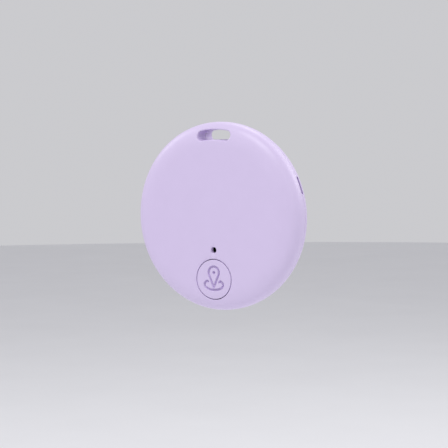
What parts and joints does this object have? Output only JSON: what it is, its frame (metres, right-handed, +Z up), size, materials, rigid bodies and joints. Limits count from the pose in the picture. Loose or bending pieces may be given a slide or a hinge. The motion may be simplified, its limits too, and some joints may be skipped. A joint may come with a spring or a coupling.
{
  "type": "bluetooth tracker tag",
  "caption": "Round lavender key-finder tag with a key-ring slot at the top, a push button near the bottom, a sounder hole, and a prise-off back over a coin cell.",
  "frame": {"origin": "centre of the key-ring slot, halfway through the tag's thickness", "axes": "+Z up, from the disc's centre to the slot; -Y out of the front face, which carries the button; +X to the right as the front face is seen"},
  "size_m": [0.042, 0.007, 0.042],
  "materials": {
    "case_abs": "satin",
    "button_abs": "satin",
    "board_laminate": "satin",
    "black_plastic": "matte",
    "tray_plastic": "satin",
    "contact_steel": "satin",
    "cell_steel": "satin",
    "cell_seal_plastic": "matte",
    "cell_paste": "matte",
    "sounder_brass": "satin",
    "sounder_ceramic": "matte",
    "foam": "matte",
    "red_insulation": "satin",
    "black_insulation": "satin",
    "capacitor_ceramic": "matte",
    "resistor_ceramic": "satin",
    "crystal_can": "satin",
    "led_resin": "gloss"
  },
  "bodies": {
    "case": {"front_shell": "case_abs", "switch_base": "black_plastic", "switch_dome": "contact_steel", "switch_cover": "contact_steel", "cell_tray": "tray_plastic", "negative_contact": "contact_steel", "positive_contact": "contact_steel", "sounder_ring": "foam", "sounder_brass": "sounder_brass", "sounder_ceramic": "sounder_ceramic", "sounder_lead_red": "red_insulation", "sounder_lead_black": "black_insulation", "main_board": "board_laminate", "radio_chip": "black_plastic", "radio_crystal": "crystal_can", "boost_inductor": "black_plastic", "sounder_driver": "black_plastic", "status_led": "led_resin", "capacitor_1": "capacitor_ceramic", "capacitor_2": "capacitor_ceramic", "capacitor_3": "capacitor_ceramic", "capacitor_4": "capacitor_ceramic", "capacitor_5": "capacitor_ceramic", "capacitor_6": "capacitor_ceramic", "resistor_1": "resistor_ceramic", "resistor_2": "resistor_ceramic", "resistor_3": "resistor_ceramic"},
    "button": {"button_cap": "button_abs"},
    "plunger": {"switch_plunger": "black_plastic"},
    "cover": {"rear_shell": "case_abs", "foam_pad": "foam"},
    "cell": {"cell_can": "cell_steel", "cell_seal": "cell_seal_plastic", "cell_cap": "cell_steel", "cell_core": "cell_paste"}
  },
  "joints": [
    {"name": "button_press", "type": "slide", "parent": "case", "child": "button", "axis": [0, 1, 0], "range_m": [0, 0.0004], "stiffness_N_per_m": 4000},
    {"name": "switch_plunger_press", "type": "slide", "parent": "case", "child": "plunger", "axis": [0, 1, 0], "range_m": [0, 0.0003], "deforming": ["switch_dome"]},
    {"name": "cover_off", "type": "slide", "parent": "case", "child": "cover", "axis": [0, 1, 0], "range_m": [0, 0.024]},
    {"name": "cell_out", "type": "slide", "parent": "case", "child": "cell", "axis": [0, 1, 0], "range_m": [0, 0.012]}
  ],
  "couplings": [
    {"joint": "switch_plunger_press", "follows": "button_press", "ratio": 0.75},
    {"joint": "cell_out", "follows": "cover_off", "ratio": 0.5}
  ]
}
